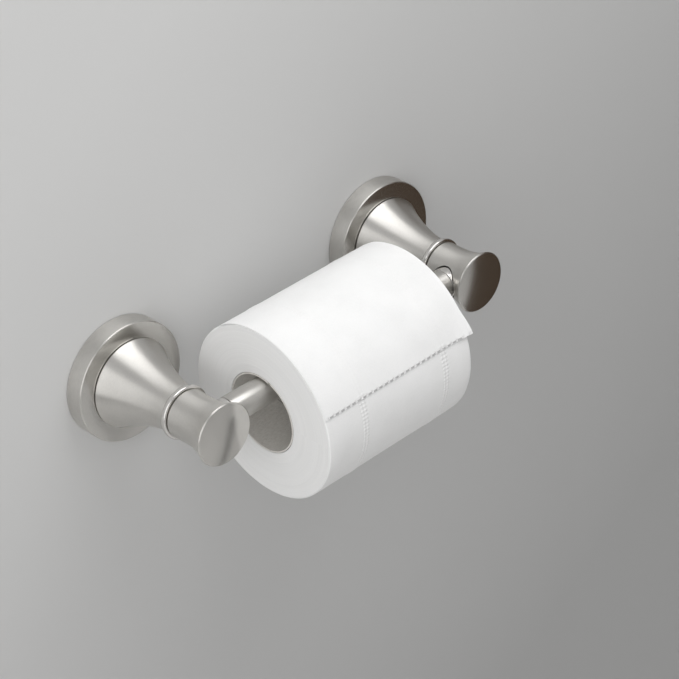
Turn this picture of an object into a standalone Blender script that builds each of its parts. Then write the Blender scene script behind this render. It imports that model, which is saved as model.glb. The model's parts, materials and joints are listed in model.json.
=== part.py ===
"""Double-post toilet paper holder with a sprung roller and a roll of paper.

X runs along the roller, the wall plane is Y = 0 with the holder on its -Y side, and Z is up.
The origin lies on the wall plane, midway between the two posts.
"""

import math

import bmesh
import bpy
from mathutils import Matrix, Vector

MM = 0.001
GAP = 0.3 * MM  # between pieces that touch or rest on each other

# Overall sizes
POST_SPACING = 178.8 * MM
POST_DEPTH = 78.3 * MM  # wall to the rim of the head's face
ROLL_WIDTH = 100.0 * MM
ROLL_RADIUS = 47.5 * MM
ROLL_SHIFT = -3.9 * MM  # the roll hangs a little off centre

# Flange: a hollow-backed cup that hides the wall bracket
FLANGE_RADIUS = 32.1 * MM
FLANGE_DEPTH = 10.3 * MM
FLANGE_WALL = 2.0 * MM
FLANGE_BEVEL = 0.6 * MM
FLANGE_FACE_RISE = 0.6 * MM
SEAT_RADIUS = 22.6 * MM  # front opening that the cone's spigot sits in

# Trumpet-shaped post cone
CONE_LIP = 1.0 * MM  # how far the cone's foot covers the edge of the opening
CONE_NECK_RADIUS = 12.2 * MM
CONE_FLARE = 1.75
CONE_WALL = 2.4 * MM
CONE_BOSS = 9.0 * MM  # solid length at the neck

# Polished bead between cone and head
BEAD_RADIUS = 14.2 * MM
BEAD_LENGTH = 3.5 * MM
BEAD_CORE_RADIUS = 11.7 * MM

# Head: waisted cylinder with a slightly domed face
HEAD_LENGTH = 26.2 * MM  # bead to the rim of the face
HEAD_BASE_RADIUS = 12.9 * MM
HEAD_WAIST_RADIUS = 12.6 * MM
HEAD_WAIST_AT = 8.0 * MM
HEAD_RIM_RADIUS = 16.6 * MM
HEAD_RIM_BEVEL = 0.6 * MM
HEAD_DOME = 0.9 * MM
HEAD_FLARE = 2.4
ROLLER_FROM_RIM = 13.0 * MM  # roller axis behind the rim of the face

# Tie stud that clamps head, bead, cone and flange together
STUD_RADIUS = 3.0 * MM
STUD_IN_HEAD = 6.4 * MM
STUD_TIP = 0.8 * MM  # the stud's end stays this far off the wall
NUT_FLATS = 10.0 * MM
NUT_HEIGHT = 3.2 * MM
WASHER_RADIUS = 6.8 * MM
WASHER_HEIGHT = 1.0 * MM
CLAMP_HEIGHT = 2.0 * MM
CLAMP_OVERLAP = 2.0 * MM

# Wall bracket, its screws and anchors
BRACKET_THICKNESS = 2.0 * MM
BRACKET_HALF_WIDTH = 19.5 * MM
BRACKET_HALF_HEIGHT = 20.5 * MM
BRACKET_CORNER = 4.0 * MM
BRACKET_BORE = 9.0 * MM
TAB_HALF_WIDTH = 8.0 * MM
TAB_THICKNESS = 2.0 * MM
TAB_REACH = 5.6 * MM
SCREW_OFFSET = 14.0 * MM
SCREW_RADIUS = 1.9 * MM
SCREW_HEAD_RADIUS = 3.6 * MM
SCREW_HEAD_HEIGHT = 2.0 * MM
SCREW_LENGTH = 30.0 * MM
ANCHOR_RADIUS = 3.6 * MM
ANCHOR_RIB = 0.4 * MM
ANCHOR_RIBS = 3
ANCHOR_LENGTH = 27.0 * MM

# Grub screw under the flange and the lug it pulls against
GRUB_RADIUS = 1.6 * MM
GRUB_DEPTH = 3.9 * MM
GRUB_KEY = 1.6 * MM
BOSS_RADIUS = 3.2 * MM
LUG_HALF_WIDTH = 6.0 * MM

# Telescoping roller
BARREL_RADIUS = 8.3 * MM
TUBE_WALL = 0.6 * MM
BARREL_END = -8.0 * MM  # open end of the barrel, inside the roll
TUBE_OVERLAP = 18.0 * MM
ROLLER_SEAT = 3.6 * MM  # how deep a roller end sits in the head
SOCKET_DEPTH = 4.6 * MM
SOCKET_CLEARANCE = 0.5 * MM
END_DISC = 5.0 * MM
END_BEVEL = 0.4 * MM
SPIGOT = 8.0 * MM
PIN_RADIUS = 2.5 * MM
PIN_LENGTH = 4.2 * MM
GUIDE_COLLAR = 3.0 * MM
BUSH_WALL = 1.2 * MM
BUSH_FLOOR = 0.8 * MM
SPRING_RADIUS = 5.4 * MM
SPRING_WIRE = 0.5 * MM
SPRING_TURNS = 8

# Roll
CORE_RADIUS = 21.0 * MM  # inside of the cardboard tube
CORE_WALL = 0.8 * MM
ROLL_EDGE = 0.6 * MM
SHEET_THICKNESS = 0.4 * MM
SHEET_START = -34.0  # degrees from the top, forwards positive
SHEET_END = 71.0

# Derived positions, as depths in front of the wall
ROLLER_DEPTH = POST_DEPTH - ROLLER_FROM_RIM
HEAD_BASE = POST_DEPTH - HEAD_LENGTH
BEAD_BASE = HEAD_BASE - GAP - BEAD_LENGTH
CONE_TOP = BEAD_BASE - GAP
FACE_DEPTH = FLANGE_DEPTH + FLANGE_FACE_RISE
CONE_FOOT = FACE_DEPTH + GAP
FLANGE_WEB = FACE_DEPTH - FLANGE_WALL
FLANGE_BORE = FLANGE_RADIUS - FLANGE_WALL
CLAMP_BASE = FLANGE_WEB - GAP - CLAMP_HEIGHT
CLAMP_RADIUS = SEAT_RADIUS + CLAMP_OVERLAP
STUD_HOLE = STUD_RADIUS + GAP
PLUNGER_RADIUS = BARREL_RADIUS - TUBE_WALL - GAP
END_OFF_AXIS = HEAD_WAIST_RADIUS - ROLLER_SEAT  # roller end to the post's own axis
ROLLER_END = POST_SPACING / 2 - END_OFF_AXIS
BUSH_BORE = PIN_RADIUS + GAP
BUSH_RADIUS = BUSH_BORE + BUSH_WALL
SOCKET_FLOOR = HEAD_WAIST_RADIUS - SOCKET_DEPTH  # this and the next two from the post's own axis
BUSH_INSIDE = END_OFF_AXIS - PIN_LENGTH - 2 * GAP
BUSH_BACK = BUSH_INSIDE - BUSH_FLOOR
ROLL_DROP = CORE_RADIUS - BARREL_RADIUS - GAP

SEGMENTS = 36
SMALL_SEGMENTS = 16
SMOOTH_ANGLE = math.radians(32)

# Local Z of a turned piece points along the named direction
OUT_OF_WALL = Matrix(((1, 0, 0), (0, 0, -1), (0, 1, 0)))
ALONG_X = Matrix(((0, 0, 1), (1, 0, 0), (0, 1, 0)))
DOWNWARD = Matrix(((1, 0, 0), (0, -1, 0), (0, 0, -1)))

# Finishes: colour, metallic, roughness
SATIN_NICKEL = ((0.56, 0.54, 0.51), 1.0, 0.30)
POLISHED_NICKEL = ((0.70, 0.68, 0.65), 1.0, 0.10)
ZINC_STEEL = ((0.60, 0.61, 0.62), 1.0, 0.38)
BLACK_STEEL = ((0.07, 0.07, 0.075), 1.0, 0.45)
SPRING_STEEL = ((0.45, 0.45, 0.46), 1.0, 0.28)
GREY_NYLON = ((0.45, 0.46, 0.47), 0.0, 0.55)
WHITE_NYLON = ((0.82, 0.82, 0.80), 0.0, 0.45)
CARDBOARD = ((0.56, 0.50, 0.42), 0.0, 0.90)
PAPER = ((0.90, 0.90, 0.89), 0.0, 0.95)


def clear_scene():
    for obj in list(bpy.data.objects):
        bpy.data.objects.remove(obj, do_unlink=True)


def finish_material(name, look):
    colour, metallic, roughness = look
    material = bpy.data.materials.new(name + "_finish")
    material.use_nodes = True
    shader = material.node_tree.nodes["Principled BSDF"]
    shader.inputs["Base Color"].default_value = (*colour, 1.0)
    shader.inputs["Metallic"].default_value = metallic
    shader.inputs["Roughness"].default_value = roughness
    material.diffuse_color = (*colour, 1.0)
    return material


def place(name, bm, turn, at, look):
    """Make an object of the bmesh, closed and facing out, with its origin at the given point."""
    bmesh.ops.recalc_face_normals(bm, faces=bm.faces)
    mesh = bpy.data.meshes.new(name)
    bm.to_mesh(mesh)
    bm.free()
    for polygon in mesh.polygons:
        polygon.use_smooth = True
    mesh.set_sharp_from_angle(angle=SMOOTH_ANGLE)
    obj = bpy.data.objects.new(name, mesh)
    bpy.context.scene.collection.objects.link(obj)
    obj.matrix_world = Matrix.Translation(Vector(at)) @ turn.to_4x4()
    if look:
        mesh.materials.append(finish_material(name, look))
    return obj


def revolved(profile, segments):
    """Turn a closed outline of (radius, height) points round local Z."""
    bm = bmesh.new()
    rings = []
    for radius, height in profile:
        if radius == 0:
            rings.append([bm.verts.new((0, 0, height))])
            continue
        ring = []
        for i in range(segments):
            angle = math.tau * i / segments
            ring.append(bm.verts.new((radius * math.cos(angle), radius * math.sin(angle), height)))
        rings.append(ring)
    for first, second in zip(rings, rings[1:] + rings[:1]):
        if len(first) == 1 and len(second) == 1:
            continue
        for i in range(segments):
            j = (i + 1) % segments
            corners = [first[i % len(first)], first[j % len(first)]]
            corners += [second[j % len(second)], second[i % len(second)]]
            bm.faces.new(list(dict.fromkeys(corners)))
    return bm


def extruded(outline, low, high):
    """Extrude a closed outline of (x, y) points along local Z."""
    bm = bmesh.new()
    bottom = [bm.verts.new((x, y, low)) for x, y in outline]
    top = [bm.verts.new((x, y, high)) for x, y in outline]
    bm.faces.new(bottom)
    bm.faces.new(top)
    for i in range(len(outline)):
        j = (i + 1) % len(outline)
        bm.faces.new((bottom[i], bottom[j], top[j], top[i]))
    return bm


def turned(name, profile, turn, at, look=None, segments=SEGMENTS):
    return place(name, revolved(profile, segments), turn, at, look)


def prism(name, outline, low, high, turn, at, look=None):
    return place(name, extruded(outline, low, high), turn, at, look)


def combine(target, tool, operation):
    tool.hide_render = True
    tool.display_type = "WIRE"
    modifier = target.modifiers.new(tool.name, "BOOLEAN")
    modifier.operation = operation
    modifier.solver = "EXACT"
    modifier.object = tool


def cut(target, tool):
    combine(target, tool, "DIFFERENCE")


def join(target, tool):
    combine(target, tool, "UNION")


def rod(radius, low, high):
    """Profile of a plain solid cylinder."""
    return [(0, low), (radius, low), (radius, high), (0, high)]


def sleeve(inner, outer, low, high):
    """Profile of a plain tube."""
    return [(inner, low), (outer, low), (outer, high), (inner, high)]


def polygon_outline(radius, sides, start=0.0):
    corners = []
    for i in range(sides):
        angle = start + math.tau * i / sides
        corners.append((radius * math.cos(angle), radius * math.sin(angle)))
    return corners


def hexagon(flats):
    return polygon_outline(flats / math.sqrt(3), 6)


def rectangle(x0, x1, y0, y1):
    return [(x0, y0), (x1, y0), (x1, y1), (x0, y1)]


def rounded_rectangle(half_x, half_y, corner, steps=4):
    outline = []
    for quadrant in range(4):
        middle = math.pi / 4 + quadrant * math.pi / 2
        centre_x = math.copysign(half_x - corner, math.cos(middle))
        centre_y = math.copysign(half_y - corner, math.sin(middle))
        for step in range(steps + 1):
            angle = quadrant * math.pi / 2 + step * math.pi / 2 / steps
            outline.append((centre_x + corner * math.cos(angle), centre_y + corner * math.sin(angle)))
    return outline


def plus_outline(reach, half):
    return [
        (reach, -half), (reach, half), (half, half), (half, reach), (-half, reach), (-half, half),
        (-reach, half), (-reach, -half), (-half, -half), (-half, -reach), (half, -reach), (half, -half),
    ]


def cone_radius(depth):
    """Outer radius of the trumpet at a depth in front of the wall."""
    share = (depth - CONE_FOOT) / (CONE_TOP - CONE_FOOT)
    foot_radius = SEAT_RADIUS + CONE_LIP
    return CONE_NECK_RADIUS + (foot_radius - CONE_NECK_RADIUS) * (1 - share) ** CONE_FLARE


def head_radius(height):
    """Outer radius of the head at a height above its base."""
    if height < HEAD_WAIST_AT:
        share = (HEAD_WAIST_AT - height) / HEAD_WAIST_AT
        return HEAD_WAIST_RADIUS + (HEAD_BASE_RADIUS - HEAD_WAIST_RADIUS) * share**2
    share = (height - HEAD_WAIST_AT) / (HEAD_LENGTH - HEAD_WAIST_AT)
    return HEAD_WAIST_RADIUS + (HEAD_RIM_RADIUS - HEAD_WAIST_RADIUS) * share**HEAD_FLARE


def build_flange(side, post_x):
    at = (post_x, 0, 0)
    profile = [
        (FLANGE_BORE, 0), (FLANGE_RADIUS, 0), (FLANGE_RADIUS, FLANGE_DEPTH - FLANGE_BEVEL),
        (FLANGE_RADIUS - FLANGE_BEVEL, FLANGE_DEPTH), (SEAT_RADIUS, FACE_DEPTH),
        (SEAT_RADIUS, FLANGE_WEB), (CLAMP_RADIUS + GAP, FLANGE_WEB),
        (FLANGE_BORE, FLANGE_WEB - FLANGE_WALL),
    ]
    flange = turned("flange_" + side, profile, OUT_OF_WALL, at, SATIN_NICKEL)

    # Boss for the grub screw, growing inwards from the lower wall
    boss_reach = CLAMP_RADIUS + 2 * GAP
    boss_at = (post_x, -GRUB_DEPTH, 0)
    boss_profile = rod(BOSS_RADIUS, boss_reach, FLANGE_BORE + FLANGE_WALL / 2)
    boss = turned("grub_boss_" + side, boss_profile, DOWNWARD, boss_at, None, SMALL_SEGMENTS)
    join(flange, boss)

    # Lug at the top that hangs on the bracket's upper tab
    lug_outline = rectangle(
        -LUG_HALF_WIDTH, LUG_HALF_WIDTH, BRACKET_HALF_HEIGHT + GAP, FLANGE_BORE + FLANGE_WALL / 2
    )
    lug = prism("lug_" + side, lug_outline, BRACKET_THICKNESS + GAP, TAB_REACH, OUT_OF_WALL, at)
    join(flange, lug)

    hole_profile = rod(GRUB_RADIUS + GAP, boss_reach - GAP * 2, FLANGE_RADIUS + GAP * 2)
    hole = turned("grub_hole_" + side, hole_profile, DOWNWARD, boss_at, None, SMALL_SEGMENTS)
    cut(flange, hole)

    grub_low = BRACKET_HALF_HEIGHT + GAP
    grub_high = FLANGE_RADIUS - FLANGE_WALL / 2
    grub_profile = [
        (0, grub_low), (GRUB_RADIUS / 2, grub_low), (GRUB_RADIUS, grub_low + GRUB_RADIUS / 2),
        (GRUB_RADIUS, grub_high), (0, grub_high),
    ]
    grub = turned("grub_screw_" + side, grub_profile, DOWNWARD, boss_at, BLACK_STEEL, SMALL_SEGMENTS)
    key = prism(
        "grub_key_" + side, hexagon(GRUB_KEY), grub_high - GRUB_RADIUS, grub_high + GAP, DOWNWARD, boss_at
    )
    cut(grub, key)


def build_bracket(side, post_x):
    at = (post_x, 0, 0)
    outline = rounded_rectangle(BRACKET_HALF_WIDTH, BRACKET_HALF_HEIGHT, BRACKET_CORNER)
    bracket = prism("wall_bracket_" + side, outline, 0, BRACKET_THICKNESS, OUT_OF_WALL, at, ZINC_STEEL)
    for label, sign in (("upper", 1), ("lower", -1)):
        edges = sorted((sign * BRACKET_HALF_HEIGHT, sign * (BRACKET_HALF_HEIGHT - TAB_THICKNESS)))
        tab = prism(
            f"tab_{label}_{side}", rectangle(-TAB_HALF_WIDTH, TAB_HALF_WIDTH, *edges),
            BRACKET_THICKNESS / 2, TAB_REACH, OUT_OF_WALL, at,
        )
        join(bracket, tab)
    bore = turned(
        "bracket_bore_" + side, rod(BRACKET_BORE, -GAP, BRACKET_THICKNESS + GAP), OUT_OF_WALL, at,
        None, SMALL_SEGMENTS,
    )
    cut(bracket, bore)

    for label, sign in (("outer", 1 if post_x > 0 else -1), ("inner", -1 if post_x > 0 else 1)):
        screw_at = (post_x + sign * SCREW_OFFSET, 0, 0)
        hole_profile = rod(SCREW_RADIUS + GAP, -GAP, BRACKET_THICKNESS + GAP)
        hole = turned(
            f"screw_hole_{label}_{side}", hole_profile, OUT_OF_WALL, screw_at, None, SMALL_SEGMENTS
        )
        cut(bracket, hole)
        build_wall_screw(f"{label}_{side}", screw_at)


def build_wall_screw(label, at):
    under_head = BRACKET_THICKNESS + GAP
    head_top = under_head + SCREW_HEAD_HEIGHT
    tip = under_head - SCREW_LENGTH
    screw_profile = [
        (0, tip), (SCREW_RADIUS * 0.25, tip), (SCREW_RADIUS, tip + 2 * SCREW_RADIUS),
        (SCREW_RADIUS, under_head), (SCREW_HEAD_RADIUS, under_head),
        (SCREW_HEAD_RADIUS, under_head + SCREW_HEAD_HEIGHT * 0.45),
        (SCREW_HEAD_RADIUS * 0.7, head_top), (0, head_top),
    ]
    screw = turned("wall_screw_" + label, screw_profile, OUT_OF_WALL, at, ZINC_STEEL, SMALL_SEGMENTS)
    drive = prism(
        "screw_drive_" + label, plus_outline(SCREW_RADIUS, SCREW_RADIUS * 0.22),
        head_top - SCREW_HEAD_HEIGHT * 0.6, head_top + GAP, OUT_OF_WALL, at,
    )
    cut(screw, drive)

    bore = SCREW_RADIUS + GAP
    anchor_profile = [(bore, -GAP), (bore, -ANCHOR_LENGTH), (ANCHOR_RADIUS, -ANCHOR_LENGTH)]
    rib_pitch = (ANCHOR_LENGTH - ANCHOR_RADIUS) / ANCHOR_RIBS
    for rib in range(ANCHOR_RIBS):
        rib_at = -ANCHOR_LENGTH + (rib + 0.8) * rib_pitch
        anchor_profile.append((ANCHOR_RADIUS + ANCHOR_RIB, rib_at))
        anchor_profile.append((ANCHOR_RADIUS, rib_at + ANCHOR_RIB))
    anchor_profile.append((ANCHOR_RADIUS, -GAP))
    turned("wall_anchor_" + label, anchor_profile, OUT_OF_WALL, at, GREY_NYLON, SMALL_SEGMENTS)


def build_cone(side, post_x):
    steps = 8
    depths = [CONE_FOOT + (CONE_TOP - CONE_FOOT) * i / steps for i in range(steps + 1)]
    outer = [(cone_radius(depth), depth) for depth in depths]
    boss_base = CONE_TOP - CONE_BOSS
    spigot_radius = SEAT_RADIUS - GAP
    inner = []
    for i in range(4):
        depth = boss_base + (CONE_FOOT - boss_base) * i / 3
        inner.append((min(cone_radius(depth), spigot_radius) - CONE_WALL, depth))
    profile = outer + [(STUD_HOLE, CONE_TOP), (STUD_HOLE, boss_base)] + inner
    profile += [(inner[-1][0], FLANGE_WEB), (spigot_radius, FLANGE_WEB), (spigot_radius, CONE_FOOT)]
    turned("post_cone_" + side, profile, OUT_OF_WALL, (post_x, 0, 0), SATIN_NICKEL)


def build_bead(side, post_x):
    middle = BEAD_BASE + BEAD_LENGTH / 2
    half = BEAD_LENGTH / 2 - 2 * GAP
    crown = BEAD_RADIUS - BEAD_CORE_RADIUS
    profile = [(STUD_HOLE, BEAD_BASE), (BEAD_CORE_RADIUS, BEAD_BASE)]
    for i in range(5):
        angle = math.pi * (i / 4 - 0.5)
        profile.append((BEAD_CORE_RADIUS + crown * math.cos(angle), middle + half * math.sin(angle)))
    profile += [(BEAD_CORE_RADIUS, BEAD_BASE + BEAD_LENGTH), (STUD_HOLE, BEAD_BASE + BEAD_LENGTH)]
    turned("neck_bead_" + side, profile, OUT_OF_WALL, (post_x, 0, 0), POLISHED_NICKEL)


def build_head(side, post_x):
    steps = 9
    side_end = HEAD_LENGTH - HEAD_RIM_BEVEL
    profile = [(0, STUD_IN_HEAD + GAP), (STUD_HOLE, STUD_IN_HEAD + GAP), (STUD_HOLE, 0)]
    profile += [(head_radius(side_end * i / steps), side_end * i / steps) for i in range(steps + 1)]
    profile.append((HEAD_RIM_RADIUS, HEAD_LENGTH))
    face_radius = HEAD_RIM_RADIUS - HEAD_RIM_BEVEL
    for i in range(3):
        share = 1 - i / 3
        rise = HEAD_RIM_BEVEL + HEAD_DOME * (1 - share**2)
        profile.append((face_radius * share, HEAD_LENGTH + rise))
    profile.append((0, HEAD_LENGTH + HEAD_RIM_BEVEL + HEAD_DOME))
    head = turned("post_head_" + side, profile, OUT_OF_WALL, (post_x, -HEAD_BASE, 0), SATIN_NICKEL)

    # Blind socket for the roller's end, opening towards the other post, with a bushed hole for its pin
    inward = -math.copysign(1, post_x)
    roller_line = (post_x, -ROLLER_DEPTH, 0)
    socket_radius = (PLUNGER_RADIUS if side == "left" else BARREL_RADIUS) + SOCKET_CLEARANCE
    socket_profile = [
        (0, inward * (BUSH_BACK - GAP)), (BUSH_RADIUS + GAP, inward * (BUSH_BACK - GAP)),
        (BUSH_RADIUS + GAP, inward * SOCKET_FLOOR), (socket_radius, inward * SOCKET_FLOOR),
        (socket_radius, inward * (HEAD_RIM_RADIUS + GAP)), (0, inward * (HEAD_RIM_RADIUS + GAP)),
    ]
    socket = turned("socket_" + side, socket_profile, ALONG_X, roller_line)
    cut(head, socket)

    mouth = SOCKET_FLOOR - GAP
    bush_profile = [
        (0, inward * BUSH_BACK), (BUSH_RADIUS, inward * BUSH_BACK), (BUSH_RADIUS, inward * mouth),
        (BUSH_BORE, inward * mouth), (BUSH_BORE, inward * BUSH_INSIDE), (0, inward * BUSH_INSIDE),
    ]
    turned("socket_bush_" + side, bush_profile, ALONG_X, roller_line, WHITE_NYLON, SMALL_SEGMENTS)


def build_tie(side, post_x):
    at = (post_x, 0, 0)
    stud_end = HEAD_BASE + STUD_IN_HEAD
    chamfer = STUD_RADIUS * 0.2
    stud_profile = [
        (0, STUD_TIP), (STUD_RADIUS - chamfer, STUD_TIP), (STUD_RADIUS, STUD_TIP + chamfer),
        (STUD_RADIUS, stud_end - chamfer), (STUD_RADIUS - chamfer, stud_end), (0, stud_end),
    ]
    turned("tie_stud_" + side, stud_profile, OUT_OF_WALL, at, ZINC_STEEL, SMALL_SEGMENTS)

    turned(
        "clamp_plate_" + side, sleeve(STUD_HOLE, CLAMP_RADIUS, CLAMP_BASE, CLAMP_BASE + CLAMP_HEIGHT),
        OUT_OF_WALL, at, ZINC_STEEL,
    )
    washer_base = CLAMP_BASE - GAP - WASHER_HEIGHT
    turned(
        "tie_washer_" + side, sleeve(STUD_HOLE, WASHER_RADIUS, washer_base, washer_base + WASHER_HEIGHT),
        OUT_OF_WALL, at, ZINC_STEEL, SMALL_SEGMENTS,
    )
    nut_top = washer_base - GAP
    nut = prism(
        "tie_nut_" + side, hexagon(NUT_FLATS), nut_top - NUT_HEIGHT, nut_top, OUT_OF_WALL, at, ZINC_STEEL
    )
    nut_bore = turned(
        "nut_bore_" + side, rod(STUD_HOLE, nut_top - NUT_HEIGHT - GAP, nut_top + GAP), OUT_OF_WALL, at,
        None, SMALL_SEGMENTS,
    )
    cut(nut, nut_bore)


def end_plug_profile(tube_radius, sign):
    """Closed roller end: spigot inside the tube, bevelled disc over its end, and the pin."""
    disc = ROLLER_END - END_DISC
    tip = ROLLER_END + PIN_LENGTH
    spigot_radius = tube_radius - TUBE_WALL - GAP
    outline = [
        (0, disc - SPIGOT), (spigot_radius, disc - SPIGOT), (spigot_radius, disc), (tube_radius, disc),
        (tube_radius, ROLLER_END - END_BEVEL), (tube_radius - END_BEVEL, ROLLER_END),
        (PIN_RADIUS, ROLLER_END), (PIN_RADIUS, tip - END_BEVEL), (PIN_RADIUS - END_BEVEL, tip), (0, tip),
    ]
    return [(radius, sign * along) for radius, along in outline]


def build_roller():
    at = (0, -ROLLER_DEPTH, 0)
    tube_stop = ROLLER_END - END_DISC - GAP
    barrel_profile = sleeve(BARREL_RADIUS - TUBE_WALL, BARREL_RADIUS, BARREL_END, tube_stop)
    turned("roller_barrel", barrel_profile, ALONG_X, at, SATIN_NICKEL)
    turned("barrel_end_plug", end_plug_profile(BARREL_RADIUS, 1), ALONG_X, at, POLISHED_NICKEL)

    plunger_end = BARREL_END + TUBE_OVERLAP
    plunger_profile = sleeve(PLUNGER_RADIUS - TUBE_WALL, PLUNGER_RADIUS, -tube_stop, plunger_end)
    turned("roller_plunger", plunger_profile, ALONG_X, at, SATIN_NICKEL)
    turned("plunger_end_plug", end_plug_profile(PLUNGER_RADIUS, -1), ALONG_X, at, POLISHED_NICKEL)

    # Collar that guides the plunger in the barrel and takes the spring's push
    guide_spigot = PLUNGER_RADIUS - TUBE_WALL - GAP
    collar = plunger_end + GAP
    guide_profile = [
        (0, plunger_end - SPIGOT), (guide_spigot, plunger_end - SPIGOT), (guide_spigot, collar),
        (PLUNGER_RADIUS, collar), (PLUNGER_RADIUS, collar + GUIDE_COLLAR), (0, collar + GUIDE_COLLAR),
    ]
    turned("plunger_guide", guide_profile, ALONG_X, at, WHITE_NYLON, SMALL_SEGMENTS)

    spring_start = collar + GUIDE_COLLAR + GAP + SPRING_WIRE
    spring_end = ROLLER_END - END_DISC - SPIGOT - GAP - SPRING_WIRE
    build_spring(at, spring_start, spring_end)


def build_spring(at, start, end):
    """Open coil between two points on the roller's axis, with a flat turn at each end."""
    turns_steps = 10
    count = (SPRING_TURNS + 2) * turns_steps
    wire_sides = 4
    bm = bmesh.new()
    rings = []
    for i in range(count + 1):
        turn = i / turns_steps
        share = min(max((turn - 1) / SPRING_TURNS, 0), 1)
        flat = 2 * SPRING_WIRE + GAP
        along = start + flat + (end - start - 2 * flat) * share
        along -= flat * max(1 - turn, 0)
        along += flat * max(turn - SPRING_TURNS - 1, 0)
        angle = math.tau * turn
        ring = []
        for k in range(wire_sides):
            around = math.tau * k / wire_sides
            radius = SPRING_RADIUS + SPRING_WIRE * math.cos(around)
            x, y = radius * math.cos(angle), radius * math.sin(angle)
            ring.append(bm.verts.new((x, y, along + SPRING_WIRE * math.sin(around))))
        rings.append(ring)
    for first, second in zip(rings, rings[1:]):
        for k in range(wire_sides):
            m = (k + 1) % wire_sides
            bm.faces.new((first[k], first[m], second[m], second[k]))
    bm.faces.new(rings[0])
    bm.faces.new(rings[-1])
    place("roller_spring", bm, ALONG_X, at, SPRING_STEEL)


def build_roll():
    at = (ROLL_SHIFT, -ROLLER_DEPTH, -ROLL_DROP)
    half = ROLL_WIDTH / 2
    core_outer = CORE_RADIUS + CORE_WALL
    turned("roll_core", sleeve(CORE_RADIUS, core_outer, -half, half), ALONG_X, at, CARDBOARD)

    paper_inner = core_outer + GAP
    paper_profile = [
        (paper_inner, -half), (ROLL_RADIUS - ROLL_EDGE, -half), (ROLL_RADIUS, ROLL_EDGE - half),
        (ROLL_RADIUS, half - ROLL_EDGE), (ROLL_RADIUS - ROLL_EDGE, half), (paper_inner, half),
    ]
    turned("paper_roll", paper_profile, ALONG_X, at, PAPER, 56)

    # Last sheet, laid over the top and ending on the front of the roll
    steps = 16
    inner = ROLL_RADIUS + GAP
    outer = inner + SHEET_THICKNESS
    angles = [math.radians(SHEET_START + (SHEET_END - SHEET_START) * i / steps) for i in range(steps + 1)]
    outline = [(-outer * math.sin(angle), outer * math.cos(angle)) for angle in angles]
    outline += [(-inner * math.sin(angle), inner * math.cos(angle)) for angle in reversed(angles)]
    prism("sheet_end", outline, -half, half, ALONG_X, at, PAPER)


def build():
    clear_scene()
    for side, sign in (("left", -1), ("right", 1)):
        post_x = sign * POST_SPACING / 2
        build_bracket(side, post_x)
        build_flange(side, post_x)
        build_cone(side, post_x)
        build_bead(side, post_x)
        build_head(side, post_x)
        build_tie(side, post_x)
    build_roller()
    build_roll()


build()
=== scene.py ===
"""Looks of the toilet paper holder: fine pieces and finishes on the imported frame, and a plain studio."""

import json
import math

import bmesh
import bpy
from mathutils import Matrix, Vector, noise

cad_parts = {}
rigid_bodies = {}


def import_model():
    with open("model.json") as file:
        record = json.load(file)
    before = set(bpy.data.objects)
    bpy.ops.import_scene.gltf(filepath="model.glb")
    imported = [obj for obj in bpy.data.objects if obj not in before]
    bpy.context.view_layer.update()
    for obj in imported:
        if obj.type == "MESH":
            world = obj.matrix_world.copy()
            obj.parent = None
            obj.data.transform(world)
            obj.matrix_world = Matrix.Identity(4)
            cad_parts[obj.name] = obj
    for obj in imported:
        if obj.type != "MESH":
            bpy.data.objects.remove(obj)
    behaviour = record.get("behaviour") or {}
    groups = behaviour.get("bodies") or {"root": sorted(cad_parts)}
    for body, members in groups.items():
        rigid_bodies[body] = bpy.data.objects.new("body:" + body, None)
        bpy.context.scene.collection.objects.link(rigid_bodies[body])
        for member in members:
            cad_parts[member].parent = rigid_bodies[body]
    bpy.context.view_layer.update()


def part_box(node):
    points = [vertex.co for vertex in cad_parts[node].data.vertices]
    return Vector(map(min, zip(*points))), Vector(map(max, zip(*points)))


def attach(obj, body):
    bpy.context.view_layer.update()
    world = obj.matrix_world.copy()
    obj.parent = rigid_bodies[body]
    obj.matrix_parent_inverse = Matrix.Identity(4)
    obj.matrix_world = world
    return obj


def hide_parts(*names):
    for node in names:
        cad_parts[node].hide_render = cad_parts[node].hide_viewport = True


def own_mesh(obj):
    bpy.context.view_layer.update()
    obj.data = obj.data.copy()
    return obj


MM = 0.001
GAP = 0.3 * MM

# Sizes of the CAD part and of the details added to it
FLANGE_DEPTH = 10.3 * MM
FLANGE_WALL = 2.0 * MM
FLANGE_BEVEL = 0.45 * MM
FACE_DEPTH = 10.9 * MM
SEAT_RADIUS = 22.6 * MM
CLAMP_RADIUS = 24.6 * MM
CONE_NECK_RADIUS = 12.2 * MM
CONE_FOOT_RADIUS = 23.6 * MM
CONE_FLARE = 1.75
CONE_WALL = 2.4 * MM
CONE_BOSS = 9.0 * MM
BEAD_RADIUS = 14.2 * MM
BEAD_CORE_RADIUS = 11.7 * MM
HEAD_BASE_RADIUS = 12.9 * MM
HEAD_WAIST_RADIUS = 12.6 * MM
HEAD_WAIST_AT = 8.0 * MM
HEAD_RIM_RADIUS = 16.6 * MM
HEAD_LENGTH = 26.2 * MM
HEAD_DOME = 0.9 * MM
HEAD_FLARE = 2.4
STUD_RADIUS = 3.0 * MM
STUD_THREAD_DEPTH = 0.35 * MM
STUD_PITCH = 1.0 * MM
STUD_HOLE = 3.3 * MM
STUD_IN_HEAD = 6.4 * MM
SOCKET_DEPTH = 4.6 * MM
SOCKET_CLEARANCE = 0.5 * MM
SOCKET_BACK = 6.1 * MM  # room for the bush behind the socket's floor
SOCKET_REACH = 17 * MM
BUSH_RADIUS = 4.0 * MM
BUSH_FLOOR = 0.8 * MM
TUBE_WALL = 0.6 * MM
END_DISC = 5.0 * MM
SPIGOT = 8.0 * MM
PIN_RADIUS = 2.5 * MM
PIN_LENGTH = 4.2 * MM
BRACKET_THICKNESS = 2.0 * MM
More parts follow.
